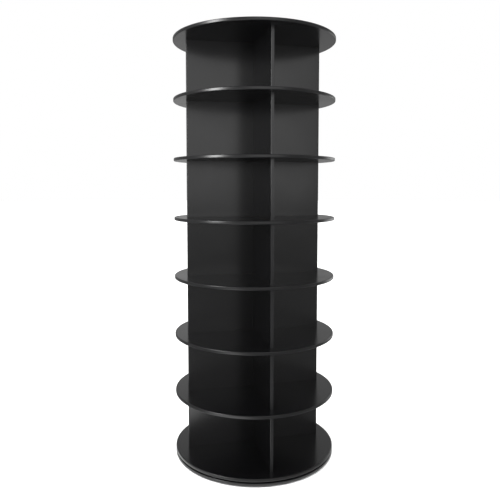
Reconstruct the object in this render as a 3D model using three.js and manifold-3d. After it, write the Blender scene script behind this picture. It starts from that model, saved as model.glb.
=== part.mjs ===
// Rotating shoe tower: seven equal tiers of round boards on a ball-bearing turntable.
//
// Each tier stands a cross of three upright panels on a round board: one long panel that crosses the
// centre, and a front and a rear panel that butt against it. Bolts join the boards to the long panels and
// glued dowels place the short ones. A ring bearing let into the static base board carries the tower,
// so that everything above the base turns on the vertical axis.
//
// Millimetres, +Z up. The origin is on the floor, on the turning axis. The long panels lie along X, and the
// front panels point along -Y.

import * as THREE from "three";
import { mergeVertices } from "three/addons/utils/BufferGeometryUtils.js";
import Module from "manifold-3d";

const wasm = await Module();
wasm.setup();

// Boards
const boardThickness = 9;
const boardRadius = 250;
const boardEdgeEasing = 1.2;
const baseEdgeEasing = 1.8;
const boardSegments = 60;
const boardSkin = 2.5; // board left past a blind hole, under a face that shows

// Upright panels, one cross of them in each tier
const tierCount = 7;
const panelHeight = 172;
const panelInset = 38; // how far the panels stop short of the boards' rim
const panelEdgeEasing = 1;

// Bolts that join a board to the long panels above and below it
const boltRadius = 2;
const boltReach = 22; // how far a bolt goes into a panel
const boltFromPanelEnd = 60;
const boltHeadRadius = 4;
const boltHeadDepth = 2.4;

// Dowels glued into the short panels
const dowelRadius = 2.5;
const dowelFromPanelEnd = 45;
const dowelEndGap = 1; // between two dowels that enter one hole from both sides
const endDowelFromEdge = 45; // from a short panel's upper or lower edge to the dowel in its inner end

// Ring bearing
const bearingRadius = 150;
const outerRingWidth = 11;
const innerRingWidth = 11;
const ringGap = 1.5; // between the two rings
const ringHeight = 7.5;
const ringOffset = 1; // the inner ring stands this much higher than the outer ring
const ballRadius = 2;
const ballCount = 16;
const ballSides = 8;
const ballRings = 4;
const cageThickness = 0.7;
const cageHeight = 2.4;
const pocketDepth = 4.5; // how deep the bearing is let into the base board
const ringScrewRadius = 1.5;
const ringScrewCount = 4;
const pocketSkin = 1.2; // base board left under the outer ring's screws

// Feet
const footCount = 6;
const footRadius = 15;
const footHeight = 3;
const footTaper = 1.5;
const footFromRim = 35;
const footSegments = 12;

// Fits
const holeClearance = 0.3; // round a bolt, dowel or screw, and past its end
const runningClearance = 0.3; // round the balls in their grooves
const pocketClearance = 1.5; // round the outer ring in its pocket
const cutOverrun = 1; // how far a cutter runs past a face
const pinSides = 8;

// Faces that touch have to be equal to the last bit of a 32-bit mesh, so heights are kept on a fine grid.
const gridStepsPerMillimetre = 1024;
const onGrid = (length) => Math.round(length * gridStepsPerMillimetre) / gridStepsPerMillimetre;

// Sizes that follow from the ones above
const thickness = onGrid(boardThickness);
const panelHalfLength = boardRadius - panelInset;
const dowelReach = onGrid((boardThickness - dowelEndGap) / 2);
const boltOffset = panelHalfLength - boltFromPanelEnd;
const dowelOffset = panelHalfLength - dowelFromPanelEnd;
const bearingHeight = onGrid(ringHeight + ringOffset);
const runningGap = onGrid(bearingHeight - pocketDepth); // open slot between the base and the lowest board
const pitchRadius = bearingRadius - outerRingWidth - ringGap / 2;
const baseUnderside = onGrid(footHeight);
const pocketFloor = onGrid(baseUnderside + thickness - pocketDepth);
const bottomBoardUnderside = baseUnderside + thickness + runningGap;
const panelRise = onGrid(panelHeight);
const tierPitch = panelRise + thickness;
const innerScrewReach = boardThickness - boardSkin - holeClearance;
const outerScrewReach = boardThickness - pocketDepth - pocketSkin - holeClearance;

// Top face of the board of one level, from level 0 for the lowest turning board up to the top board.
const levelTop = (level) => bottomBoardUnderside + thickness + level * tierPitch;

// Materials
const lacqueredBoard = new THREE.MeshStandardMaterial({ color: 0x17171a, roughness: 0.32, metalness: 0 });
const zincSteel = new THREE.MeshStandardMaterial({ color: 0xb9bcc0, roughness: 0.35, metalness: 1 });
const brushedAluminium = new THREE.MeshStandardMaterial({ color: 0xc4c6c9, roughness: 0.4, metalness: 1 });
const cagePlastic = new THREE.MeshStandardMaterial({ color: 0xd8d6ce, roughness: 0.5, metalness: 0 });
const footFelt = new THREE.MeshStandardMaterial({ color: 0x2a2a2c, roughness: 0.95, metalness: 0 });

// A closed geometry as a solid that can be cut and joined.
function solidOf(geometry) {
  const positions = (geometry.index ? geometry.toNonIndexed() : geometry).getAttribute("position");
  const merged = mergeVertices(new THREE.BufferGeometry().setAttribute("position", positions));
  return new wasm.Manifold(
    new wasm.Mesh({
      numProp: 3,
      vertProperties: merged.getAttribute("position").array,
      triVerts: new Uint32Array(merged.index.array),
    }),
  );
}

function geometryOf(solid) {
  const mesh = solid.getMesh();
  return new THREE.BufferGeometry()
    .setAttribute("position", new THREE.BufferAttribute(mesh.vertProperties, mesh.numProp))
    .setIndex(new THREE.BufferAttribute(mesh.triVerts, 1));
}

const joined = (body, pieces) => pieces.reduce((sum, piece) => sum.add(piece), body);
const cut = (body, cutters) => cutters.reduce((rest, cutter) => rest.subtract(cutter), body);

// Turns a profile of [radius, height] pairs, listed anticlockwise, about the vertical axis.
function turned(profile, segments) {
  const points = profile.map(([radius, height]) => new THREE.Vector2(radius, height));
  return new THREE.LatheGeometry(points, segments).rotateX(Math.PI / 2);
}

// An upright prism on an outline of [x, y] pairs, standing on z = 0.
function prism(outline, height) {
  const shape = new THREE.Shape(outline.map(([x, y]) => new THREE.Vector2(x, y)));
  return new THREE.ExtrudeGeometry(shape, { depth: height, bevelEnabled: false });
}

// A round pin or hole cutter along Z from one height to another.
function uprightPin(x, y, radius, low, high) {
  const pin = new THREE.CylinderGeometry(radius, radius, high - low, pinSides).rotateX(Math.PI / 2);
  return solidOf(pin.translate(x, y, (low + high) / 2));
}

// The same along Y.
function levelPin(x, z, radius, from, to) {
  const pin = new THREE.CylinderGeometry(radius, radius, to - from, pinSides);
  return solidOf(pin.translate(x, (from + to) / 2, z));
}

// Places round the vertical axis at one radius.
function ring(count, radius, turnShare = 0) {
  return Array.from({ length: count }, (_, i) => {
    const angle = ((i + turnShare) * 2 * Math.PI) / count;
    return [radius * Math.cos(angle), radius * Math.sin(angle)];
  });
}

function placed(name, geometry, material, height = 0) {
  const mesh = new THREE.Mesh(geometry, material);
  mesh.name = name;
  mesh.position.z = height;
  return mesh;
}

const sides = [-1, 1];

// Round board with eased edges, its top face on z = 0.
function roundBoard() {
  const rim = boardRadius;
  const eased = boardRadius - boardEdgeEasing;
  const profile = [
    [0, -thickness],
    [eased, -thickness],
    [rim, -thickness + boardEdgeEasing],
    [rim, -boardEdgeEasing],
    [eased, 0],
    [0, 0],
  ];
  return solidOf(turned(profile, boardSegments));
}

// The board of one level: bolt holes under the long panel, dowel holes under the short panels.
function levelBoard(level) {
  const fromBelow = level > 0;
  const fromAbove = level < tierCount;
  const boltHole = boltRadius + holeClearance;
  const dowelHole = dowelRadius + holeClearance;
  const dowelDepth = dowelReach + holeClearance;
  const boltTop = fromAbove ? cutOverrun : -boardSkin;
  const dowelLow = fromBelow ? -thickness - cutOverrun : -dowelDepth;
  const dowelHigh = fromAbove ? cutOverrun : -thickness + dowelDepth;
  const cutters = sides.flatMap((side) => [
    uprightPin(side * boltOffset, 0, boltHole, -thickness - cutOverrun, boltTop),
    uprightPin(0, side * dowelOffset, dowelHole, dowelLow, dowelHigh),
  ]);
  if (!fromBelow) {
    cutters.push(...sides.map((side) => countersink(side * boltOffset, holeClearance)));
    const screwHole = ringScrewRadius + holeClearance;
    for (const [x, y] of innerScrewPlaces) {
      cutters.push(uprightPin(x, y, screwHole, -thickness - cutOverrun, -boardSkin));
    }
  }
  return cut(roundBoard(), cutters);
}

// Cone for a countersunk bolt head in the lowest board's underside, widened by a clearance.
function countersink(x, clearance) {
  const low = -thickness - (clearance > 0 ? cutOverrun : 0);
  const slope = (boltHeadRadius - boltRadius) / boltHeadDepth;
  const lowRadius = boltHeadRadius + clearance + slope * (-thickness - low);
  const profile = [
    [0, low],
    [lowRadius, low],
    [boltRadius + clearance, -thickness + boltHeadDepth],
    [0, -thickness + boltHeadDepth],
  ];
  return solidOf(turned(profile, pinSides).translate(x, 0, 0));
}

// Bolt through one level's board, on the board's own heights: a screw head in the lowest board, a blind
// end in the top board, and both ends free in the panels elsewhere.
function joiningBolt(level, side) {
  const top = level < tierCount ? boltReach : -boardSkin - holeClearance;
  const low = level > 0 ? -thickness - boltReach : -thickness;
  const shank = uprightPin(side * boltOffset, 0, boltRadius, low, top);
  return level > 0 ? shank : shank.add(countersink(side * boltOffset, 0));
}

// Heights in a panel of the two dowels at a short panel's inner end.
const endDowelHeights = [endDowelFromEdge, panelRise - endDowelFromEdge];

// Long panel of one tier, standing on z = 0.
function longPanel() {
  const end = panelHalfLength;
  const face = boardThickness / 2;
  const ease = panelEdgeEasing;
  const outline = [
    [-end, -face + ease],
    [-end + ease, -face],
    [end - ease, -face],
    [end, -face + ease],
    [end, face - ease],
    [end - ease, face],
    [-end + ease, face],
    [-end, face - ease],
  ];
  const bore = boltRadius + holeClearance;
  const depth = boltReach + holeClearance;
  const cutters = sides.flatMap((side) => [
    uprightPin(side * boltOffset, 0, bore, -cutOverrun, depth),
    uprightPin(side * boltOffset, 0, bore, panelRise - depth, panelRise + cutOverrun),
  ]);
  const past = face + cutOverrun;
  for (const z of endDowelHeights) {
    cutters.push(levelPin(0, z, dowelRadius + holeClearance, -past, past));
  }
  return cut(solidOf(prism(outline, panelRise)), cutters);
}

// Short panel of one tier with its dowels; facing is -1 for the front panel and 1 for the rear one.
function shortPanel(facing) {
  const side = boardThickness / 2;
  const inner = boardThickness / 2; // the long panel's face
  const ease = panelEdgeEasing;
  const end = panelHalfLength;
  const half = [
    [side, inner],
    [side, end - ease],
    [side - ease, end],
    [-side + ease, end],
    [-side, end - ease],
    [-side, inner],
  ];
  const outline = facing > 0 ? half : half.map(([x, y]) => [-x, -y]);
  const y = facing * dowelOffset;
  const reach = dowelReach; // out of the panel, and as far again into it
  const dowels = [
    uprightPin(0, y, dowelRadius, -reach, reach),
    uprightPin(0, y, dowelRadius, panelRise - reach, panelRise + reach),
  ];
  const middle = facing * inner;
  for (const z of endDowelHeights) {
    dowels.push(levelPin(0, z, dowelRadius, middle - reach, middle + reach));
  }
  return joined(solidOf(prism(outline, panelRise)), dowels);
}

// Base board on z = 0, with the bearing's pocket and the outer ring's screw holes.
function baseBoard() {
  const rim = boardRadius;
  const pocket = bearingRadius + pocketClearance;
  const floor = pocketFloor - baseUnderside;
  const profile = [
    [0, 0],
    [rim - baseEdgeEasing, 0],
    [rim, baseEdgeEasing],
    [rim, thickness - boardEdgeEasing],
    [rim - boardEdgeEasing, thickness],
    [pocket, thickness],
    [pocket, floor],
    [0, floor],
  ];
  const hole = ringScrewRadius + holeClearance;
  const cutters = outerScrewPlaces.map(([x, y]) => uprightPin(x, y, hole, pocketSkin, floor + cutOverrun));
  return cut(solidOf(turned(profile, boardSegments)), cutters);
}

// Bearing heights are measured from the pocket's floor.
const ballHeight = bearingHeight / 2;
const grooveApex = (ballRadius + runningClearance) * Math.SQRT2; // from the balls' centre, in a 90 degree groove
const grooveHalf = grooveApex - ringGap / 2;
const innerScrewPlaces = ring(ringScrewCount, pitchRadius - ringGap / 2 - innerRingWidth / 2, 1 / 2);
const outerScrewPlaces = ring(ringScrewCount, bearingRadius - outerRingWidth / 2);

// Outer ring, fixed to the base board, with its groove facing inwards.
function outerRing() {
  const bore = bearingRadius - outerRingWidth;
  const profile = [
    [bearingRadius, 0],
    [bearingRadius, ringHeight],
    [bore, ringHeight],
    [bore, ballHeight + grooveHalf],
    [pitchRadius + grooveApex, ballHeight],
    [bore, ballHeight - grooveHalf],
    [bore, 0],
    [bearingRadius, 0],
  ];
  const screws = outerScrewPlaces.map(([x, y]) =>
    uprightPin(x, y, ringScrewRadius, -outerScrewReach, ringHeight / 2),
  );
  return joined(solidOf(turned(profile, boardSegments)), screws);
}

// Inner ring, fixed to the lowest turning board, with its groove facing outwards.
function innerRing() {
  const outside = pitchRadius - ringGap / 2;
  const bore = outside - innerRingWidth;
  const profile = [
    [bore, ringOffset],
    [outside, ringOffset],
    [outside, ballHeight - grooveHalf],
    [pitchRadius - grooveApex, ballHeight],
    [outside, ballHeight + grooveHalf],
    [outside, bearingHeight],
    [bore, bearingHeight],
    [bore, ringOffset],
  ];
  const screws = innerScrewPlaces.map(([x, y]) =>
    uprightPin(x, y, ringScrewRadius, bearingHeight / 2, bearingHeight + innerScrewReach),
  );
  return joined(solidOf(turned(profile, boardSegments)), screws);
}

// Thin cage that keeps the balls apart, joined to its balls.
function ballCage() {
  const inside = pitchRadius - cageThickness / 2;
  const outside = pitchRadius + cageThickness / 2;
  const low = ballHeight - cageHeight / 2;
  const high = ballHeight + cageHeight / 2;
  const profile = [
    [inside, low],
    [outside, low],
    [outside, high],
    [inside, high],
    [inside, low],
  ];
  const balls = ring(ballCount, pitchRadius).map(([x, y]) =>
    solidOf(new THREE.SphereGeometry(ballRadius, ballSides, ballRings).translate(x, y, ballHeight)),
  );
  return joined(solidOf(turned(profile, boardSegments)), balls);
}

// Glide pad, tapered towards the floor.
function foot() {
  const profile = [
    [0, 0],
    [footRadius - footTaper, 0],
    [footRadius, footTaper],
    [footRadius, footHeight],
    [0, footHeight],
  ];
  return turned(profile, footSegments);
}

// What stands still: base board, feet and the bearing's outer ring.
function staticBase() {
  const group = new THREE.Group();
  group.name = "static_base";
  group.add(placed("base_board", geometryOf(baseBoard()), lacqueredBoard, baseUnderside));
  ring(footCount, boardRadius - footFromRim).forEach(([x, y], i) => {
    const pad = placed(`base_foot_${i + 1}`, foot(), footFelt);
    pad.position.set(x, y, 0);
    group.add(pad);
  });
  group.add(placed("bearing_outer_ring", geometryOf(outerRing()), brushedAluminium, pocketFloor));
  return group;
}

function boardName(level) {
  if (level === 0) return "bottom_board";
  return level === tierCount ? "top_board" : `shelf_board_${level}`;
}

// What turns: the inner ring, the boards, the panels and the bolts.
function turningTower() {
  const group = new THREE.Group();
  group.name = "turning_tower";
  group.add(placed("bearing_inner_ring", geometryOf(innerRing()), brushedAluminium, pocketFloor));
  for (let level = 0; level <= tierCount; level++) {
    const top = levelTop(level);
    group.add(placed(boardName(level), geometryOf(levelBoard(level)), lacqueredBoard, top));
    for (const side of sides) {
      const name = `joining_bolt_${level}_${side < 0 ? "left" : "right"}`;
      group.add(placed(name, geometryOf(joiningBolt(level, side)), zincSteel, top));
    }
  }
  const panels = {
    long_panel: geometryOf(longPanel()),
    front_panel: geometryOf(shortPanel(-1)),
    rear_panel: geometryOf(shortPanel(1)),
  };
  for (let tier = 1; tier <= tierCount; tier++) {
    for (const [kind, geometry] of Object.entries(panels)) {
      group.add(placed(`${kind}_${tier}`, geometry, lacqueredBoard, levelTop(tier - 1)));
    }
  }
  return group;
}

const tower = new THREE.Group();
tower.name = "rotating_shoe_tower";
tower.add(staticBase());
tower.add(placed("bearing_ball_cage", geometryOf(ballCage()), cagePlastic, pocketFloor));
tower.add(turningTower());

export default tower;
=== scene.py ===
import math

import bmesh
import bpy
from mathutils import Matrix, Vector


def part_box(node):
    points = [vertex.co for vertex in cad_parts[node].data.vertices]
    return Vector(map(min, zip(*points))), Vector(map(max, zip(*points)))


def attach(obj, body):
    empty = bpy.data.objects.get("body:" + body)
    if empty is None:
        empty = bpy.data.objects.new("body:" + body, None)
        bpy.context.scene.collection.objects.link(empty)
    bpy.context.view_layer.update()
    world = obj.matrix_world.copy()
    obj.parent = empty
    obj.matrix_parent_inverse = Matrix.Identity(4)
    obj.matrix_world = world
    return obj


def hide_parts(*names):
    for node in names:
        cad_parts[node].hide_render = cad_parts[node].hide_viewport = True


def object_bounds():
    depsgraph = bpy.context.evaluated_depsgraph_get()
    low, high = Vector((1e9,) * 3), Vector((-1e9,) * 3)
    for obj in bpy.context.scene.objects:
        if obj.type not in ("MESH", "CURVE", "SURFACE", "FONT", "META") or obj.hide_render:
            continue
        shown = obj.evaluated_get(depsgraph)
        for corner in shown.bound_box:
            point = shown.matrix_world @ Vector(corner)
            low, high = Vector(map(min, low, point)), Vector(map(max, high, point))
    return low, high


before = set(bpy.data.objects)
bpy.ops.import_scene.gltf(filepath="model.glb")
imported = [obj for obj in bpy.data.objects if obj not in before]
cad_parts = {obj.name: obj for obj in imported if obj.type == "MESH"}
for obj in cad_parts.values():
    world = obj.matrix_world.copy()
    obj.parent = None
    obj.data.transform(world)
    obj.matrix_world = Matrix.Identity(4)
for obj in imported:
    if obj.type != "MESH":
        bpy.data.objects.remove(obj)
cad_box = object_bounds()

MM = 0.001
TINY = 0.01 * MM  # points nearer than this count as one
MICRON = 0.001 * MM


def middle_of(node):
    low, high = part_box(node)
    return (low + high) / 2


def heights_of(node):
    """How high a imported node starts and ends."""
    low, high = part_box(node)
    return low.z, high.z


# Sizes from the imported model
TIERS = 7
FOOT_COUNT = 6
BOARD_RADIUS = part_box("top_board")[1].x
PANEL_LOW, PANEL_HIGH = heights_of("long_panel_1")
PANEL_REACH, PANEL_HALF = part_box("long_panel_1")[1].xy  # from the axis to an end, and half its thickness
TIER_PITCH = heights_of("long_panel_2")[0] - PANEL_LOW
STUD_LOW, STUD_HIGH = heights_of("joining_bolt_1_right")
STUD_X = middle_of("joining_bolt_1_right").x
STUD_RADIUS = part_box("joining_bolt_1_right")[1].y
OUTER_LOW, OUTER_HIGH = heights_of("bearing_outer_ring")
INNER_LOW, INNER_HIGH = heights_of("bearing_inner_ring")
CAGE_MIDDLE = middle_of("bearing_ball_cage").z

# Edges and edge bands
RIM_SIDES = 256
ROUNDING_STEPS = 5
RIM_ROUNDING = 1.9 * MM
BASE_ROUNDING = 2.2 * MM  # under the base board
BAND_DEPTH = 2.6 * MM  # how far an edge band reaches in from the edge
SEAM_WIDTH = 0.35 * MM
SEAM_DEPTH = 0.15 * MM
PANEL_ROUNDING = 1.1 * MM
FACING_NORMAL = 0.6  # a panel's face that turns sideways less than this is sawn board
ARRIS = 0.25 * MM  # the small break on a panel's other edges
SMOOTH_UP_TO = math.radians(35)  # faces that meet at more than this keep a sharp edge

# Holes and what goes into them
HOLE_SIDES = 32
CLEARANCE = 0.3 * MM
OVERRUN = 1.0 * MM
BLIND_SKIN = 2.5 * MM  # board left over a blind hole
STUD_PITCH = 1.8 * MM
STUD_ROOT = 1.5 * MM
STUD_PLACES = [(-STUD_X, 0), (STUD_X, 0)]
DOWEL_RADIUS = 2.5 * MM
DOWEL_SIDES = 24
DOWEL_FROM_END = 45 * MM
DOWEL_REACH = 4.0 * MM  # out of a panel, and as far again into it
DOWEL_CHAMFER = 0.6 * MM
DOWEL_PLACES = [(0, -PANEL_REACH + DOWEL_FROM_END), (0, PANEL_REACH - DOWEL_FROM_END)]
FLUTE = 0.2 * MM

# Threads and screw heads
THREAD_STEPS = 16  # in one turn
THREAD_SPARE = 1.5  # turns wound past each end and cut off again
CREST_SHARE = 0.15  # of the pitch
HEAD_RADIUS = 4.0 * MM
HEAD_HEIGHT = 2.4 * MM
HEAD_EDGE = 0.2 * MM
THREAD_START_SHARE = 0.9  # of the head's height, so that the thread grows out of the head
SOCKET_SIDES = 6
SOCKET_WIDTH_SHARE = 0.5  # of the head's width
SOCKET_DEPTH_SHARE = 0.7  # of the head's height

# Ring bearing
PITCH_RADIUS = 138.25 * MM
RING_GAP = 1.5 * MM
RING_WIDTH = 11 * MM
RING_HEIGHT = 7.5 * MM
OUTER_BORE = PITCH_RADIUS + RING_GAP / 2
INNER_WALL = PITCH_RADIUS - RING_GAP / 2
BALL_RADIUS = 2.0 * MM
BALL_SEGMENTS = 32
BALLS = 16
GROOVE_APEX = 3.25 * MM  # from the balls' centre to the bottom of a 90 degree groove
RING_CHAMFER = 0.5 * MM
CAGE_THICKNESS = 0.7 * MM
CAGE_HEIGHT = 2.4 * MM
POCKET_CLEARANCE = 1.5 * MM
RING_SCREWS = 4
INNER_SCREWS_TURN = 0.5  # share of a step by which they stand turned from the outer ring's
RING_SCREW_RADIUS = 1.5 * MM
RING_SCREW_ROOT = 1.1 * MM
RING_SCREW_PITCH = 1.0 * MM
RING_HEAD_RADIUS = 2.9 * MM
RING_HEAD_HEIGHT = 1.7 * MM
SCREWS_FROM_WALL = RING_WIDTH / 2  # from the wall at the balls to the screws

# Feet
FOOT_SIDES = 64
FOOT_ROUNDING = 1.4 * MM

# Photograph
PHOTO_SIDE = 500
FOCAL_PX = 555.4
AXIS_X_PX = 253.67  # where the turning axis stands in the picture
LEVEL_Y_PX = 224.0  # the picture's row on the lens axis
CAMERA_DISTANCE = 1.7513
CAMERA_HEIGHT = 0.8444
CAMERA_TILT = math.radians(3.96)
CROSS_TURN = math.radians(13.95)  # how far the long panels stand turned from the picture plane
SENSOR = 36.0

# Light
ROOM_SEEN = 1.0
ROOM_LIGHT = 2.4
ROOM_IN_GLOSS = 0.36
NEAR_FLOOR = 0.28  # radius of the white floor that shows in the gloss
NEAR_FLOOR_ASIDE = 0.015  # from the axis to the near floor's centre
NEAR_FLOOR_TURN = -60  # and in which direction, in degrees to the right of the camera's side
FLOOR_RADIUS = 30
FLOOR_SIDES = 128

# Turn in degrees to the right of the camera's side, distance from the axis, height, height aimed at, width,
# length and radiance of each softbox
SOFTBOXES = {
    "front_softbox": (15, 3.4, 1.85, 1.85, 2.9, 2.4, 0.98),
    "left_softbox": (-51, 1.7, 1.36, 1.2, 0.5, 1.2, 20.0),
    "right_softbox": (130, 2.6, 0.7, 0.4, 1.4, 1.4, 1.4),
    "rear_softbox": (193, 3.0, 0.85, 0.85, 0.8, 1.0, 0.16),
    "floor_softbox": (-28, 1.5, 0.07, 30, 0.5, 2.4, 1.7),  # lies at the floor and faces up
}


# Modelling

def only(piece):
    """Leaves one object selected and active."""
    bpy.ops.object.select_all(action="DESELECT")
    piece.select_set(True)
    bpy.context.view_layer.objects.active = piece


def apply_place(piece):
    only(piece)
    bpy.ops.object.transform_apply(location=True, rotation=True, scale=True)


def edit(piece):
    """Opens one object in edit mode."""
    only(piece)
    bpy.ops.object.mode_set(mode="EDIT")


def leave_edit():
    bpy.ops.object.mode_set(mode="OBJECT")


def select(piece, kind, wanted):
    """In edit mode, selects the vertices, edges or faces that wanted says yes to."""
    bpy.ops.mesh.select_mode(type=kind)
    bpy.ops.mesh.select_all(action="DESELECT")
    mesh = bmesh.from_edit_mesh(piece.data)
    for element in {"VERT": mesh.verts, "EDGE": mesh.edges, "FACE": mesh.faces}[kind]:
        element.select_set(bool(wanted(element)))
    mesh.select_flush_mode()
    bmesh.update_edit_mesh(piece.data)


def slice_at(plane, normal, **options):
    """In edit mode, cuts through the whole mesh along a plane."""
    bpy.ops.mesh.select_all(action="SELECT")
    bpy.ops.mesh.bisect(plane_co=plane, plane_no=normal, threshold=MICRON, **options)


def middle(edge):
    return (edge.verts[0].co + edge.verts[1].co) / 2


def lies_at(edge, height):
    """Whether both ends of an edge are at a height."""
    return all(abs(end.co.z - height) < TINY for end in edge.verts)


def from_axis(point):
    return math.hypot(point.x, point.y)


def round_rod(name, radius, start, end, sides):
    """A cylinder from one point to another."""
    start, end = Vector(start), Vector(end)
    bpy.ops.object.select_all(action="DESELECT")
    bpy.ops.mesh.primitive_cylinder_add(
        vertices=sides, radius=radius, depth=(end - start).length, location=(start + end) / 2,
        rotation=(end - start).to_track_quat("Z", "Y").to_euler(),
    )
    piece = bpy.context.object
    piece.name = name
    apply_place(piece)
    return piece


def upright_rod(name, radius, low, high, sides, x=0.0, y=0.0):
    return round_rod(name, radius, (x, y, low), (x, y, high), sides)


def block(name, low, high):
    """A box between two corners."""
    bpy.ops.object.select_all(action="DESELECT")
    bpy.ops.mesh.primitive_cube_add(size=1, location=(Vector(low) + Vector(high)) / 2)
    piece = bpy.context.object
    piece.name = name
    piece.scale = Vector(high) - Vector(low)
    apply_place(piece)
    return piece


def merge_close():
    """In edit mode, merges points that lie on each other and removes the flat slivers between them."""
    bpy.ops.mesh.select_all(action="SELECT")
    bpy.ops.mesh.remove_doubles(threshold=TINY)
    bpy.ops.mesh.select_all(action="SELECT")
    bpy.ops.mesh.dissolve_degenerate(threshold=TINY)


def boolean(piece, others, operation):
    """Cuts the others out of a piece, or unites them with it, and removes them."""
    for other in others:
        tool = piece.modifiers.new(operation.lower(), "BOOLEAN")
        tool.operation = operation
        tool.solver = "EXACT"
        tool.object = other
        only(piece)
        bpy.ops.object.modifier_apply(modifier=tool.name)
        bpy.data.objects.remove(other)
        edit(piece)
        merge_close()
        leave_edit()


def join(piece, others):
    """Makes other objects loose parts of a piece's mesh."""
    bpy.ops.object.select_all(action="DESELECT")
    for other in others:
        other.select_set(True)
    piece.select_set(True)
    bpy.context.view_layer.objects.active = piece
    bpy.ops.object.join()


def copy_to(model, name, place=(0, 0, 0), turn=(0, 0, 0)):
    """A copy with its own mesh, turned and then moved from where the model is."""
    twin = model.copy()
    twin.data = model.data.copy()
    twin.name = name
    bpy.context.collection.objects.link(twin)
    twin.location = place
    twin.rotation_euler = turn
    apply_place(twin)
    return twin


def round_places(count, radius, share=0.0):
    """Places round the axis, the first one turned by a share of a step."""
    turns = ((i + share) * 2 * math.pi / count for i in range(count))
    return [(radius * math.cos(turn), radius * math.sin(turn)) for turn in turns]


def smooth(piece):
    """Smooth curves and roundings, with flat faces left flat."""
    only(piece)
    bpy.ops.object.shade_smooth_by_angle(angle=SMOOTH_UP_TO)
    weigh = piece.modifiers.new("flat_faces", "WEIGHTED_NORMAL")
    weigh.keep_sharp = True
    bpy.ops.object.modifier_apply(modifier=weigh.name)


def dress(piece, materials, choose=lambda face: 0):
    """Gives a piece its materials; choose says which of them a face takes."""
    piece.data.materials.clear()
    for material in materials:
        piece.data.materials.append(material)
    for face in piece.data.polygons:
        face.material_index = choose(face)


def seat(piece, body, node):
    """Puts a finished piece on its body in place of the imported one."""
    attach(piece, body)
    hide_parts(node)


# Materials

def linear(hex_colour):
    """An sRGB hex colour as linear RGBA."""
    def channel(value):
        share = value / 255
        return share / 12.92 if share <= 0.04045 else ((share + 0.055) / 1.055) ** 2.4
    return (*(channel(int(hex_colour[i:i + 2], 16)) for i in (1, 3, 5)), 1.0)


def feed(node, inputs):
    """Sets a node's inputs, each to a value or to another node's output."""
    for name, value in inputs.items():
        socket = next(s for s in node.inputs if s.identifier == name)
        if isinstance(value, bpy.types.NodeSocket):
            node.id_data.links.new(value, socket)
        else:
            socket.default_value = value


def add_node(tree, kind, inputs=None, output=None, **settings):
    """Adds a node with its settings and links, and returns one of its outputs, the first unless named."""
    node = tree.nodes.new(kind)
    for name, value in settings.items():
        setattr(node, name, value)
    feed(node, inputs or {})
    return next((s for s in node.outputs if output in (None, s.identifier)), None)


def new_material(name):
    """A material with its node tree and its surface shader."""
    material = bpy.data.materials.new(name)
    material.use_nodes = True
    return material, material.node_tree, material.node_tree.nodes["Principled BSDF"]


def melamine_facing():
    """Black melamine paper pressed on board against a satin steel plate: an even, deep black with a soft
    gloss, a pressed grain of about 0.8 mm, and wide faint differences in gloss from wiping."""
    material, tree, surface = new_material("black_melamine_pressed")
    place = add_node(tree, "ShaderNodeTexCoord", output="Object")
    grain = add_node(
        tree, "ShaderNodeTexNoise",
        {"Vector": place, "Scale": 1 / (0.8 * MM), "Detail": 2.0, "Roughness": 0.5},
    )
    wiping = add_node(
        tree, "ShaderNodeTexNoise",
        {"Vector": place, "Scale": 1 / (90 * MM), "Detail": 1.0, "Roughness": 0.5},
    )
    gloss = add_node(
        tree, "ShaderNodeMapRange",
        {"Value": wiping, "From Min": 0.3, "From Max": 0.7, "To Min": 0.2, "To Max": 0.24},
    )
    tone = add_node(
        tree, "ShaderNodeMix",
        {"Factor_Float": wiping, "A_Color": linear("#060607"), "B_Color": linear("#080809")},
        "Result_Color", data_type="RGBA",
    )
    relief = add_node(
        tree, "ShaderNodeBump", {"Strength": 0.05, "Distance": 0.05 * MM, "Height": grain}
    )
    feed(surface, {"Base Color": tone, "Roughness": gloss, "IOR": 1.57, "Normal": relief})
    return material


def panel_band():
    """Black melamine edge strip, ironed on and scraped flush: as glossy as the facing and a shade lighter,
    with faint upright lines from the scraper."""
    material, tree, surface = new_material("black_melamine_edge_strip")
    place = add_node(tree, "ShaderNodeTexCoord", output="Object")
    along = add_node(tree, "ShaderNodeMapping", {"Vector": place, "Scale": (40, 40, 1)})
    lines = add_node(
        tree, "ShaderNodeTexNoise",
        {"Vector": along, "Scale": 1 / (25 * MM), "Detail": 3.0, "Roughness": 0.6},
    )
    gloss = add_node(
        tree, "ShaderNodeMapRange",
        {"Value": lines, "From Min": 0.3, "From Max": 0.7, "To Min": 0.2, "To Max": 0.25},
    )
    tone = add_node(
        tree, "ShaderNodeMix",
        {"Factor_Float": lines, "A_Color": linear("#0f0f10"), "B_Color": linear("#131314")},
        "Result_Color", data_type="RGBA",
    )
    relief = add_node(
        tree, "ShaderNodeBump", {"Strength": 0.05, "Distance": 0.05 * MM, "Height": lines}
    )
    feed(surface, {"Base Color": tone, "Roughness": gloss, "IOR": 1.5, "Normal": relief})
    return material


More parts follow.
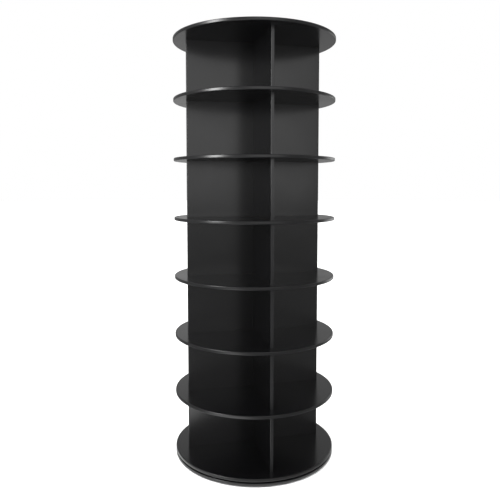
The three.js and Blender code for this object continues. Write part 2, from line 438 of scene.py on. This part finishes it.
def rim_band():
    """Black ABS edge band, extruded, glued round the rim and scraped: duller than the facing, with faint
    lines along the edge from the scraper."""
    material, tree, surface = new_material("black_abs_edge_band")
    place = add_node(tree, "ShaderNodeTexCoord", output="Object")
    along = add_node(tree, "ShaderNodeMapping", {"Vector": place, "Scale": (1, 1, 40)})
    lines = add_node(
        tree, "ShaderNodeTexNoise",
        {"Vector": along, "Scale": 1 / (25 * MM), "Detail": 3.0, "Roughness": 0.6},
    )
    gloss = add_node(
        tree, "ShaderNodeMapRange",
        {"Value": lines, "From Min": 0.3, "From Max": 0.7, "To Min": 0.285, "To Max": 0.31},
    )
    tone = add_node(
        tree, "ShaderNodeMix",
        {"Factor_Float": lines, "A_Color": linear("#080809"), "B_Color": linear("#0b0b0c")},
        "Result_Color", data_type="RGBA",
    )
    relief = add_node(
        tree, "ShaderNodeBump", {"Strength": 0.05, "Distance": 0.05 * MM, "Height": lines}
    )
    feed(surface, {"Base Color": tone, "Roughness": gloss, "IOR": 1.5, "Normal": relief})
    return material


def board_core():
    """Fibreboard, pressed from fine wood fibre and sawn: plain brown and matt, seen only in holes and on
    edges that are covered."""
    material, tree, surface = new_material("fibreboard_sawn")
    place = add_node(tree, "ShaderNodeTexCoord", output="Object")
    fibres = add_node(
        tree, "ShaderNodeTexNoise",
        {"Vector": place, "Scale": 1 / (1.5 * MM), "Detail": 4.0, "Roughness": 0.6},
    )
    tone = add_node(
        tree, "ShaderNodeMix",
        {"Factor_Float": fibres, "A_Color": linear("#7a5d40"), "B_Color": linear("#a08058")},
        "Result_Color", data_type="RGBA",
    )
    relief = add_node(tree, "ShaderNodeBump", {"Strength": 0.3, "Distance": 0.1 * MM, "Height": fibres})
    feed(surface, {"Base Color": tone, "Roughness": 0.85, "Normal": relief})
    return material


def beech():
    """Beech, turned and fluted into dowels: pale, with short darker flecks along the grain."""
    material, tree, surface = new_material("beech_turned")
    place = add_node(tree, "ShaderNodeTexCoord", output="Object")
    along = add_node(tree, "ShaderNodeMapping", {"Vector": place, "Scale": (1, 1, 0.15)})
    flecks = add_node(
        tree, "ShaderNodeTexNoise",
        {"Vector": along, "Scale": 1 / (0.6 * MM), "Detail": 3.0, "Roughness": 0.65},
    )
    tone = add_node(
        tree, "ShaderNodeMix",
        {"Factor_Float": flecks, "A_Color": linear("#b98a5e"), "B_Color": linear("#dcb88c")},
        "Result_Color", data_type="RGBA",
    )
    feed(surface, {"Base Color": tone, "Roughness": 0.6})
    return material


def zinc_plate():
    """Steel, rolled and zinc plated: bright and bluish, with soft cloudy patches in the plating."""
    material, tree, surface = new_material("steel_zinc_plated")
    place = add_node(tree, "ShaderNodeTexCoord", output="Object")
    clouds = add_node(
        tree, "ShaderNodeTexNoise",
        {"Vector": place, "Scale": 1 / (4 * MM), "Detail": 3.0, "Roughness": 0.6},
    )
    tone = add_node(
        tree, "ShaderNodeMix",
        {"Factor_Float": clouds, "A_Color": linear("#aab0b8"), "B_Color": linear("#cbcdcf")},
        "Result_Color", data_type="RGBA",
    )
    gloss = add_node(
        tree, "ShaderNodeMapRange",
        {"Value": clouds, "From Min": 0.3, "From Max": 0.7, "To Min": 0.26, "To Max": 0.42},
    )
    feed(surface, {"Base Color": tone, "Metallic": 1.0, "Roughness": gloss})
    return material


def turned_aluminium():
    """Aluminium, turned on a lathe: satin, with fine rings round the axis, 0.4 mm apart so that they show."""
    material, tree, surface = new_material("aluminium_turned")
    place = add_node(tree, "ShaderNodeTexCoord", output="Object")
    rings = add_node(
        tree, "ShaderNodeTexWave", {"Vector": place, "Scale": math.pi / 10 / (0.4 * MM), "Distortion": 0.4},
        "Fac", wave_type="RINGS", rings_direction="Z",
    )
    gloss = add_node(tree, "ShaderNodeMapRange", {"Value": rings, "To Min": 0.3, "To Max": 0.42})
    relief = add_node(tree, "ShaderNodeBump", {"Strength": 0.15, "Distance": 0.02 * MM, "Height": rings})
    feed(surface, {
        "Base Color": linear("#c9cacc"), "Metallic": 1.0, "Roughness": gloss, "Normal": relief,
    })
    return material


def ball_steel():
    """Chrome steel, hardened and polished: a near mirror with the slightest haze."""
    material, tree, surface = new_material("chrome_steel_polished")
    place = add_node(tree, "ShaderNodeTexCoord", output="Object")
    haze = add_node(
        tree, "ShaderNodeTexNoise",
        {"Vector": place, "Scale": 1 / (1.2 * MM), "Detail": 2.0, "Roughness": 0.5},
    )
    gloss = add_node(tree, "ShaderNodeMapRange", {"Value": haze, "To Min": 0.05, "To Max": 0.14})
    feed(surface, {"Base Color": linear("#c8cacc"), "Metallic": 1.0, "Roughness": gloss})
    return material


def nylon():
    """Natural nylon, injection moulded: milky, satin, with a fine spark-eroded texture from the mould."""
    material, tree, surface = new_material("nylon_moulded")
    place = add_node(tree, "ShaderNodeTexCoord", output="Object")
    texture = add_node(
        tree, "ShaderNodeTexNoise",
        {"Vector": place, "Scale": 1 / (0.3 * MM), "Detail": 2.0, "Roughness": 0.5},
    )
    tone = add_node(
        tree, "ShaderNodeMix",
        {"Factor_Float": texture, "A_Color": linear("#d9d5c6"), "B_Color": linear("#e6e3d8")},
        "Result_Color", data_type="RGBA",
    )
    relief = add_node(tree, "ShaderNodeBump", {"Strength": 0.2, "Distance": 0.02 * MM, "Height": texture})
    feed(surface, {"Base Color": tone, "Roughness": 0.48, "IOR": 1.53, "Normal": relief})
    return material


def felt():
    """Grey wool felt, pressed and punched: matt, with short crossing fibres and a soft sheen."""
    material, tree, surface = new_material("wool_felt_pressed")
    place = add_node(tree, "ShaderNodeTexCoord", output="Object")
    fibres = add_node(
        tree, "ShaderNodeTexNoise",
        {"Vector": place, "Scale": 1 / (0.7 * MM), "Detail": 5.0, "Roughness": 0.7, "Distortion": 1.5},
    )
    tone = add_node(
        tree, "ShaderNodeMix",
        {"Factor_Float": fibres, "A_Color": linear("#1c1c1e"), "B_Color": linear("#3c3c40")},
        "Result_Color", data_type="RGBA",
    )
    relief = add_node(tree, "ShaderNodeBump", {"Strength": 0.6, "Distance": 0.3 * MM, "Height": fibres})
    feed(surface, {"Base Color": tone, "Roughness": 0.95, "Sheen Weight": 0.3, "Normal": relief})
    return material


FACING = melamine_facing()
PANEL_BAND = panel_band()
RIM_BAND = rim_band()
CORE = board_core()
BEECH = beech()
ZINC = zinc_plate()
ALUMINIUM = turned_aluminium()
BALL_STEEL = ball_steel()
NYLON = nylon()
FELT = felt()


# Round boards

def round_board(name, low, high, under_rounding=RIM_ROUNDING):
    """A round board with a rounded edge band and the band's fine seam on both faces."""
    centre = (low + high) / 2
    piece = upright_rod(name, BOARD_RADIUS, low, high, RIM_SIDES)
    edit(piece)
    for height, rounding in ((high, RIM_ROUNDING), (low, under_rounding)):
        select(piece, "EDGE", lambda e: lies_at(e, height))
        bpy.ops.mesh.bevel(offset=rounding, segments=ROUNDING_STEPS, profile=0.5, affect="EDGES")
        select(piece, "FACE", lambda f: (f.calc_center_median() - Vector((0, 0, height))).length < TINY)
        bpy.ops.mesh.inset(thickness=BAND_DEPTH - rounding - SEAM_WIDTH / 2)
        bpy.ops.mesh.inset(thickness=SEAM_WIDTH / 2)
        bpy.ops.mesh.inset(thickness=SEAM_WIDTH / 2)
    seam = BOARD_RADIUS - BAND_DEPTH
    select(piece, "VERT", lambda v: abs(from_axis(v.co) - seam) < SEAM_WIDTH / 4)
    bpy.ops.transform.resize(
        value=(1, 1, 1 - SEAM_DEPTH / (high - centre)), center_override=(0, 0, centre)
    )
    leave_edit()
    return piece


def board_face(low, high):
    """Chooses 0 for the facing, 1 for the band, and 2 for the sawn wall or floor of a hole."""
    def choose(face):
        if from_axis(face.center) > BOARD_RADIUS - BAND_DEPTH:
            return 1
        return 0 if min(abs(face.center.z - low), abs(face.center.z - high)) < SEAM_DEPTH else 2
    return choose


def drill_upright(radius, low, high, places):
    """Cutters for upright holes."""
    return [upright_rod("drill", radius, low, high, HOLE_SIDES, x, y) for x, y in places]


def finish_board(piece, cutters, low, high):
    """Cuts a round board's holes, and gives it its materials and smooth edges."""
    boolean(piece, cutters, "DIFFERENCE")
    dress(piece, [FACING, RIM_BAND, CORE], board_face(low, high))
    smooth(piece)


def make_shelf_boards():
    low, high = heights_of("shelf_board_1")
    model = round_board("shelf_board_model", low, high)
    through = (low - OVERRUN, high + OVERRUN)
    cutters = drill_upright(STUD_RADIUS + CLEARANCE, *through, STUD_PLACES)
    cutters += drill_upright(DOWEL_RADIUS + CLEARANCE, *through, DOWEL_PLACES)
    finish_board(model, cutters, low, high)
    for level in range(1, TIERS):
        piece = copy_to(model, f"shelf_board_{level}_finished", (0, 0, (level - 1) * TIER_PITCH))
        seat(piece, "tower", f"shelf_board_{level}")
    bpy.data.objects.remove(model)


def countersink(radius, head_radius, head_height, at, surface, facing):
    """A cutter for a screw head in a surface that faces up, with facing 1, or down, with facing -1."""
    x, y = at
    slope = (head_radius - radius) / head_height
    open_radius = head_radius + CLEARANCE + slope * OVERRUN
    start, end = surface + facing * OVERRUN, surface - facing * head_height
    cutter = upright_rod("countersink", open_radius, min(start, end), max(start, end), HOLE_SIDES, x, y)
    edit(cutter)
    select(cutter, "VERT", lambda v: abs(v.co.z - end) < TINY)
    share = (radius + CLEARANCE) / open_radius
    bpy.ops.transform.resize(value=(share, share, 1), center_override=(x, y, end))
    leave_edit()
    return cutter


def make_bottom_board():
    low, high = heights_of("bottom_board")
    piece = round_board("bottom_board_finished", low, high)
    screws = round_places(RING_SCREWS, INNER_WALL - SCREWS_FROM_WALL, INNER_SCREWS_TURN)
    cutters = drill_upright(STUD_RADIUS + CLEARANCE, low - OVERRUN, high + OVERRUN, STUD_PLACES)
    cutters += [countersink(STUD_RADIUS, HEAD_RADIUS, HEAD_HEIGHT, at, low, -1) for at in STUD_PLACES]
    cutters += drill_upright(
        DOWEL_RADIUS + CLEARANCE, high - DOWEL_REACH - CLEARANCE, high + OVERRUN, DOWEL_PLACES
    )
    cutters += drill_upright(RING_SCREW_RADIUS + CLEARANCE, low - OVERRUN, high - BLIND_SKIN, screws)
    finish_board(piece, cutters, low, high)
    seat(piece, "tower", "bottom_board")


def make_top_board():
    low, high = heights_of("top_board")
    piece = round_board("top_board_finished", low, high)
    cutters = drill_upright(STUD_RADIUS + CLEARANCE, low - OVERRUN, high - BLIND_SKIN, STUD_PLACES)
    cutters += drill_upright(
        DOWEL_RADIUS + CLEARANCE, low - OVERRUN, low + DOWEL_REACH + CLEARANCE, DOWEL_PLACES
    )
    finish_board(piece, cutters, low, high)
    seat(piece, "tower", "top_board")


def make_base_board():
    low, high = heights_of("base_board")
    piece = round_board("base_board_finished", low, high, BASE_ROUNDING)
    pocket = OUTER_BORE + RING_WIDTH + POCKET_CLEARANCE
    screws = round_places(RING_SCREWS, OUTER_BORE + SCREWS_FROM_WALL)
    cutters = [upright_rod("pocket", pocket, OUTER_HIGH - RING_HEIGHT, high + OVERRUN, RIM_SIDES)]
    cutters += drill_upright(RING_SCREW_RADIUS + CLEARANCE, OUTER_LOW - CLEARANCE, high, screws)
    finish_board(piece, cutters, low, high)
    seat(piece, "base", "base_board")


# Dowels, studs and screws

def fluted_dowel():
    """A beech dowel along Z about the origin, with chamfered ends and flutes that let the glue out."""
    piece = upright_rod("dowel_model", DOWEL_RADIUS, -DOWEL_REACH, DOWEL_REACH, DOWEL_SIDES)
    edit(piece)
    select(piece, "EDGE", lambda e: abs(middle(e).z) > DOWEL_REACH - TINY)
    bpy.ops.mesh.bevel(offset=DOWEL_CHAMFER, segments=2, profile=0.5, affect="EDGES")

    def every_other(edge):
        upright = abs(edge.verts[0].co.z - edge.verts[1].co.z) > DOWEL_REACH
        turn = math.atan2(middle(edge).y, middle(edge).x)
        return upright and round(turn / (2 * math.pi / DOWEL_SIDES)) % 2 == 0

    select(piece, "EDGE", every_other)
    share = 1 - FLUTE / DOWEL_RADIUS
    bpy.ops.transform.resize(value=(share, share, 1), center_override=(0, 0, 0))
    leave_edit()
    dress(piece, [BEECH])
    return piece


def threaded_rod(name, root, crest, pitch, low, high):
    """A rod along Z with a wood screw's thread, cut off square at both ends."""
    bpy.ops.object.select_all(action="DESELECT")
    tooth = low - THREAD_SPARE * pitch + pitch / 2
    bpy.ops.mesh.primitive_plane_add(
        size=1, location=((root + crest) / 2, 0, tooth), rotation=(math.pi / 2, 0, 0)
    )
    piece = bpy.context.object
    piece.name = name
    piece.scale = (crest - root, pitch, 1)
    apply_place(piece)
    edit(piece)
    bpy.ops.mesh.select_all(action="SELECT")
    bpy.ops.mesh.delete(type="ONLY_FACE")
    select(piece, "EDGE", lambda e: abs(middle(e).x - root) < TINY)
    bpy.ops.mesh.delete(type="EDGE_FACE")
    select(piece, "VERT", lambda v: abs(v.co.x - crest) < TINY)
    bpy.ops.transform.resize(value=(1, 1, CREST_SHARE), center_override=(crest, 0, tooth))
    leave_edit()
    winding = piece.modifiers.new("thread", "SCREW")
    winding.screw_offset = pitch
    winding.iterations = math.ceil((high - low) / pitch + 2 * THREAD_SPARE)
    winding.steps = winding.render_steps = THREAD_STEPS
    bpy.ops.object.modifier_apply(modifier=winding.name)
    edit(piece)
    merge_close()
    slice_at((0, 0, low), (0, 0, 1), clear_inner=True, use_fill=True)
    slice_at((0, 0, high), (0, 0, 1), clear_outer=True, use_fill=True)
    bpy.ops.mesh.select_all(action="SELECT")
    bpy.ops.mesh.normals_make_consistent(inside=False)
    leave_edit()
    return piece


def countersunk_screw(name, root, crest, pitch, head_radius, head_height, length):
    """A screw with its head's face on z = 0 and its point up, with a hexagon socket."""
    piece = upright_rod(name, head_radius, 0, head_height, HOLE_SIDES)
    edit(piece)
    select(piece, "VERT", lambda v: v.co.z > head_height - TINY)
    share = root / head_radius
    bpy.ops.transform.resize(value=(share, share, 1), center_override=(0, 0, head_height))
    select(piece, "EDGE", lambda e: middle(e).z < TINY)
    bpy.ops.mesh.bevel(offset=HEAD_EDGE, segments=2, profile=0.5, affect="EDGES")
    leave_edit()
    thread = threaded_rod("thread", root, crest, pitch, THREAD_START_SHARE * head_height, length)
    boolean(piece, [thread], "UNION")
    socket = upright_rod(
        "socket", SOCKET_WIDTH_SHARE * head_radius, -OVERRUN, SOCKET_DEPTH_SHARE * head_height, SOCKET_SIDES
    )
    boolean(piece, [socket], "DIFFERENCE")
    dress(piece, [ZINC])
    return piece


def make_studs():
    """A threaded stud through each board into the long panels, with a screw head under the lowest board."""
    stud = threaded_rod("stud_model", STUD_ROOT, STUD_RADIUS, STUD_PITCH, STUD_LOW, STUD_HIGH)
    dress(stud, [ZINC])
    smooth(stud)
    low, high = heights_of("joining_bolt_0_right")
    bolt = countersunk_screw(
        "bolt_model", STUD_ROOT, STUD_RADIUS, STUD_PITCH, HEAD_RADIUS, HEAD_HEIGHT, high - low
    )
    smooth(bolt)
    short = threaded_rod(
        "short_stud_model", STUD_ROOT, STUD_RADIUS, STUD_PITCH, *heights_of(f"joining_bolt_{TIERS}_right")
    )
    dress(short, [ZINC])
    smooth(short)
    for side, x in (("left", -STUD_X), ("right", STUD_X)):
        for level in range(TIERS + 1):
            model, rise = stud, (level - 1) * TIER_PITCH
            if level == 0:
                model, rise = bolt, low
            elif level == TIERS:
                model, rise = short, 0
            node = f"joining_bolt_{level}_{side}"
            piece = copy_to(model, f"{node}_finished", (x, 0, rise))
            seat(piece, "tower", node)
    for model in (stud, bolt, short):
        bpy.data.objects.remove(model)


# Upright panels

def panel(name, low, high, banded_ends, along):
    """An upright panel from low to high. banded_ends are the places of its edge bands along one axis, 0 for X
    and 1 for Y."""
    across = 1 - along
    piece = block(name, low, high)
    centre = (Vector(low) + Vector(high)) / 2
    half = (high[across] - low[across]) / 2
    edit(piece)

    def at_band(edge):
        upright = abs(edge.verts[0].co.z - edge.verts[1].co.z) > TINY
        return upright and any(abs(middle(edge)[along] - end) < TINY for end in banded_ends)

    select(piece, "EDGE", at_band)
    bpy.ops.mesh.bevel(offset=PANEL_ROUNDING, segments=ROUNDING_STEPS, profile=0.5, affect="EDGES")
    select(piece, "EDGE", lambda e: lies_at(e, low[2]) or lies_at(e, high[2]))
    bpy.ops.mesh.bevel(offset=ARRIS, segments=2, profile=0.5, affect="EDGES")
    for end in banded_ends:
        inward = -1 if end > centre[along] else 1
        seam = end + inward * BAND_DEPTH
        normal = Vector((0, 0, 0))
        normal[along] = 1
        for offset in (-SEAM_WIDTH / 2, 0, SEAM_WIDTH / 2):
            slice_at(normal * (seam + offset), normal)
        select(piece, "VERT", lambda v: abs(v.co[along] - seam) < TINY)
        squeeze = Vector((1, 1, 1))
        squeeze[across] = 1 - SEAM_DEPTH / half
        bpy.ops.transform.resize(value=squeeze, center_override=centre)
    leave_edit()
    return piece


def panel_face(banded_ends, along):
    """Chooses 0 for the facing, 1 for the band, and 2 for a sawn edge or a hole's wall."""
    def choose(face):
        if any(abs(face.center[along] - end) < BAND_DEPTH for end in banded_ends):
            return 1
        return 0 if abs(face.normal[1 - along]) > FACING_NORMAL else 2
    return choose


def drill_level(heights):
    """Cutters for level holes across a long panel at the axis."""
    reach = PANEL_HALF + OVERRUN
    radius = DOWEL_RADIUS + CLEARANCE
    return [round_rod("drill", radius, (0, -reach, z), (0, reach, z), HOLE_SIDES) for z in heights]


def long_panel(dowel_heights):
    """The model of the long panels, drilled for its studs and for the short panels' dowels."""
    low, high = PANEL_LOW, PANEL_HIGH
    ends = (-PANEL_REACH, PANEL_REACH)
    model = panel(
        "long_panel_model", (-PANEL_REACH, -PANEL_HALF, low), (PANEL_REACH, PANEL_HALF, high), ends, 0
    )
    bore = STUD_RADIUS + CLEARANCE
    depth = STUD_HIGH - heights_of("shelf_board_1")[1] + CLEARANCE
    cutters = drill_upright(bore, low - OVERRUN, low + depth, STUD_PLACES)
    cutters += drill_upright(bore, high - depth, high + OVERRUN, STUD_PLACES)
    cutters += drill_level(dowel_heights)
    boolean(model, cutters, "DIFFERENCE")
    dress(model, [FACING, PANEL_BAND, CORE], panel_face(ends, 0))
    smooth(model)
    return model


def make_panels():
    reach, half = PANEL_REACH, PANEL_HALF
    low, high = PANEL_LOW, PANEL_HIGH
    end_dowels = (low + DOWEL_FROM_END, high - DOWEL_FROM_END)
    models = {"long_panel": long_panel(end_dowels)}
    dowel = fluted_dowel()
    for kind, facing in (("front_panel", -1), ("rear_panel", 1)):
        inner, outer = facing * half, facing * reach
        model = panel(
            f"{kind}_model", (-half, min(inner, outer), low), (half, max(inner, outer), high), (outer,), 1
        )
        dress(model, [FACING, PANEL_BAND, CORE], panel_face((outer,), 1))
        y = facing * (reach - DOWEL_FROM_END)
        dowels = [copy_to(dowel, "dowel", (0, y, z)) for z in (low, high)]
        dowels += [copy_to(dowel, "dowel", (0, inner, z), (math.pi / 2, 0, 0)) for z in end_dowels]
        join(model, dowels)
        smooth(model)
        models[kind] = model
    bpy.data.objects.remove(dowel)

    for kind, model in models.items():
        for tier in range(1, TIERS + 1):
            piece = copy_to(model, f"{kind}_{tier}_finished", (0, 0, (tier - 1) * TIER_PITCH))
            seat(piece, "tower", f"{kind}_{tier}")
        bpy.data.objects.remove(model)


# Ring bearing and feet

def turned_ring(name, inside, outside, low, high, groove_side=0):
    """A ring turned about the axis, its edges chamfered. groove_side is 1 for a ball groove in its outer
    wall, -1 for one in its bore, and 0 for none."""
    bpy.ops.object.select_all(action="DESELECT")
    bpy.ops.mesh.primitive_plane_add(
        size=1, location=((inside + outside) / 2, 0, (low + high) / 2), rotation=(math.pi / 2, 0, 0)
    )
    piece = bpy.context.object
    piece.name = name
    piece.scale = (outside - inside, high - low, 1)
    apply_place(piece)
    edit(piece)
    chamfer = min(RING_CHAMFER, (outside - inside) / 4)
    bpy.ops.mesh.select_all(action="SELECT")
    bpy.ops.mesh.bevel(offset=chamfer, segments=2, profile=0.5, affect="VERTICES")
    if groove_side:
        wall = outside if groove_side > 0 else inside
        apex = PITCH_RADIUS - groove_side * GROOVE_APEX
        half = GROOVE_APEX - abs(PITCH_RADIUS - wall)
        for z in (CAGE_MIDDLE - half, CAGE_MIDDLE, CAGE_MIDDLE + half):
            slice_at((0, 0, z), (0, 0, 1))
        select(piece, "VERT", lambda v: abs(v.co.x - wall) + abs(v.co.z - CAGE_MIDDLE) < TINY)
        bpy.ops.transform.translate(value=(apex - wall, 0, 0))
        bpy.ops.mesh.select_all(action="SELECT")
        bpy.ops.mesh.dissolve_limited(angle_limit=math.radians(1))
    bpy.ops.mesh.select_all(action="SELECT")
    bpy.ops.mesh.delete(type="ONLY_FACE")
    bpy.ops.mesh.select_all(action="SELECT")
    bpy.ops.mesh.spin(steps=RIM_SIDES, angle=2 * math.pi, center=(0, 0, 0), axis=(0, 0, 1))
    bpy.ops.mesh.select_all(action="SELECT")
    bpy.ops.mesh.remove_doubles(threshold=TINY)
    bpy.ops.mesh.normals_make_consistent(inside=False)
    leave_edit()
    return piece


def ring_with_screws(node, body, inside, low, groove_side, screw_end, screws_turn):
    """A bearing ring with the countersunk screws that hold it to its board. screws_turn is the share of a
    step by which its screws are turned round the axis."""
    outside, high = inside + RING_WIDTH, low + RING_HEIGHT
    piece = turned_ring(f"{node}_finished", inside, outside, low, high, groove_side)
    places = round_places(RING_SCREWS, (inside + outside) / 2, screws_turn)
    head_down = screw_end > high
    face = low if head_down else high
    facing = -1 if head_down else 1
    cutters = drill_upright(RING_SCREW_RADIUS + CLEARANCE, low - OVERRUN, high + OVERRUN, places)
    cutters += [
        countersink(RING_SCREW_RADIUS, RING_HEAD_RADIUS, RING_HEAD_HEIGHT, at, face, facing) for at in places
    ]
    boolean(piece, cutters, "DIFFERENCE")
    dress(piece, [ALUMINIUM])
    model = countersunk_screw(
        "ring_screw_model", RING_SCREW_ROOT, RING_SCREW_RADIUS, RING_SCREW_PITCH, RING_HEAD_RADIUS,
        RING_HEAD_HEIGHT, abs(screw_end - face),
    )
    turn = (0, 0, 0) if head_down else (math.pi, 0, 0)
    screws = [copy_to(model, "ring_screw", (x, y, face), turn) for x, y in places]
    bpy.data.objects.remove(model)
    join(piece, screws)
    smooth(piece)
    seat(piece, body, node)


def make_bearing():
    ring_with_screws("bearing_outer_ring", "base", OUTER_BORE, OUTER_HIGH - RING_HEIGHT, -1, OUTER_LOW, 0)
    ring_with_screws(
        "bearing_inner_ring", "tower", INNER_WALL - RING_WIDTH, INNER_LOW, 1, INNER_HIGH, INNER_SCREWS_TURN
    )
    cage = turned_ring(
        "bearing_ball_cage_finished", PITCH_RADIUS - CAGE_THICKNESS / 2, PITCH_RADIUS + CAGE_THICKNESS / 2,
        CAGE_MIDDLE - CAGE_HEIGHT / 2, CAGE_MIDDLE + CAGE_HEIGHT / 2,
    )
    dress(cage, [NYLON, BALL_STEEL])
    balls = []
    for x, y in round_places(BALLS, PITCH_RADIUS):
        bpy.ops.object.select_all(action="DESELECT")
        bpy.ops.mesh.primitive_uv_sphere_add(
            segments=BALL_SEGMENTS, ring_count=BALL_SEGMENTS // 2, radius=BALL_RADIUS,
            location=(x, y, CAGE_MIDDLE),
        )
        ball = bpy.context.object
        apply_place(ball)
        dress(ball, [BALL_STEEL])
        balls.append(ball)
    join(cage, balls)
    smooth(cage)
    seat(cage, "ball_cage", "bearing_ball_cage")


def make_feet():
    low, high = heights_of("base_foot_1")
    foot_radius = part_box("base_foot_1")[1].y
    model = upright_rod("foot_model", foot_radius, low, high, FOOT_SIDES)
    edit(model)
    select(model, "EDGE", lambda e: lies_at(e, low))
    bpy.ops.mesh.bevel(offset=FOOT_ROUNDING, segments=4, profile=0.5, affect="EDGES")
    leave_edit()
    dress(model, [FELT])
    smooth(model)
    for i, (x, y) in enumerate(round_places(FOOT_COUNT, middle_of("base_foot_1").x), 1):
        piece = copy_to(model, f"base_foot_{i}_finished", (x, y, 0))
        seat(piece, "base", f"base_foot_{i}")
    bpy.data.objects.remove(model)


make_base_board()
make_bottom_board()
make_shelf_boards()
make_top_board()
make_panels()
make_studs()
make_bearing()
make_feet()


# Studio

def floor_paint():
    """White floor paint, put on with a roller: matt, with a faint 3 mm stipple."""
    material, tree, surface = new_material("white_floor_paint")
    place = add_node(tree, "ShaderNodeTexCoord", output="Object")
    rolling = add_node(tree, "ShaderNodeTexNoise", {"Vector": place, "Scale": 1 / (3 * MM), "Detail": 2.0})
    tone = add_node(
        tree, "ShaderNodeMix",
        {"Factor_Float": rolling, "A_Color": linear("#f2f2f2"), "B_Color": linear("#f6f6f6")},
        "Result_Color", data_type="RGBA",
    )
    feed(surface, {"Base Color": tone, "Roughness": 0.6})
    return material


def make_floor():
    """A round white floor. Only its part near the tower shows in the gloss, because the photograph's tower
    stands on nothing."""
    bpy.ops.object.select_all(action="DESELECT")
    bpy.ops.mesh.primitive_circle_add(
        vertices=FLOOR_SIDES, radius=FLOOR_RADIUS, fill_type="NGON",
        location=round_the_tower(NEAR_FLOOR_TURN, NEAR_FLOOR_ASIDE, cad_box[0].z),
    )
    far = bpy.context.object
    far.name = "studio_floor_far"
    far.visible_glossy = False
    edit(far)
    bpy.ops.mesh.select_all(action="SELECT")
    bpy.ops.mesh.inset(thickness=FLOOR_RADIUS - NEAR_FLOOR)
    bpy.ops.mesh.separate(type="SELECTED")
    leave_edit()
    near = next(piece for piece in bpy.context.selected_objects if piece != far)
    near.name = "studio_floor_near"
    near.visible_glossy = True
    paint = floor_paint()
    for floor in (near, far):
        floor.data.materials.append(paint)


def softbox(name, place, aim, size, radiance):
    """A rectangular softbox of the given size and radiance, out of the camera's sight."""
    data = bpy.data.lights.new(name, "AREA")
    data.shape = "RECTANGLE"
    data.size, data.size_y = size
    data.energy = radiance * math.pi * size[0] * size[1]
    light = bpy.data.objects.new(name, data)
    bpy.context.collection.objects.link(light)
    light.location = place
    light.rotation_euler = (Vector(aim) - Vector(place)).to_track_quat("-Z", "Y").to_euler()
    light.visible_camera = False


def white_room():
    """A white room that lights the floor and all matt surfaces, and shows dimmer in the gloss."""
    world = bpy.data.worlds.new("white_room")
    world.use_nodes = True
    tree = world.node_tree
    gloss = add_node(tree, "ShaderNodeLightPath", output="Is Glossy Ray")
    seen = add_node(tree, "ShaderNodeLightPath", output="Is Camera Ray")
    light = add_node(
        tree, "ShaderNodeMapRange", {"Value": gloss, "To Min": ROOM_LIGHT, "To Max": ROOM_IN_GLOSS}
    )
    strength = add_node(
        tree, "ShaderNodeMapRange", {"Value": seen, "To Min": light, "To Max": ROOM_SEEN}
    )
    feed(tree.nodes["Background"], {"Color": linear("#ffffff"), "Strength": strength})
    bpy.context.scene.world = world


def round_the_tower(turn, distance, height):
    """A place at a turn in degrees to the right of the camera's side."""
    angle = CROSS_TURN - math.radians(turn)
    return (-distance * math.sin(angle), -distance * math.cos(angle), height)


def make_studio():
    make_floor()
    white_room()
    for name, (turn, distance, height, aim, width, length, radiance) in SOFTBOXES.items():
        softbox(name, round_the_tower(turn, distance, height), (0, 0, aim), (width, length), radiance)
    bpy.context.scene.view_settings.view_transform = "Standard"


def make_camera():
    """The photograph's camera, in front of the tower. It is turned aside by what brings the turning axis to
    its column, and shifted by what brings the lens axis to its row."""
    data = bpy.data.cameras.new("photo_camera")
    data.sensor_width = SENSOR
    data.lens = SENSOR * FOCAL_PX / PHOTO_SIDE
    centre_px = (PHOTO_SIDE - 1) / 2
    data.shift_y = (LEVEL_Y_PX - centre_px) / PHOTO_SIDE
    aside = math.atan((AXIS_X_PX - centre_px) / FOCAL_PX)
    camera = bpy.data.objects.new("photo_camera", data)
    bpy.context.collection.objects.link(camera)
    camera.location = round_the_tower(0, CAMERA_DISTANCE, CAMERA_HEIGHT)
    camera.rotation_euler = (math.pi / 2 - CAMERA_TILT, 0, aside - CROSS_TURN)
    bpy.context.scene.camera = camera


make_studio()
make_camera()
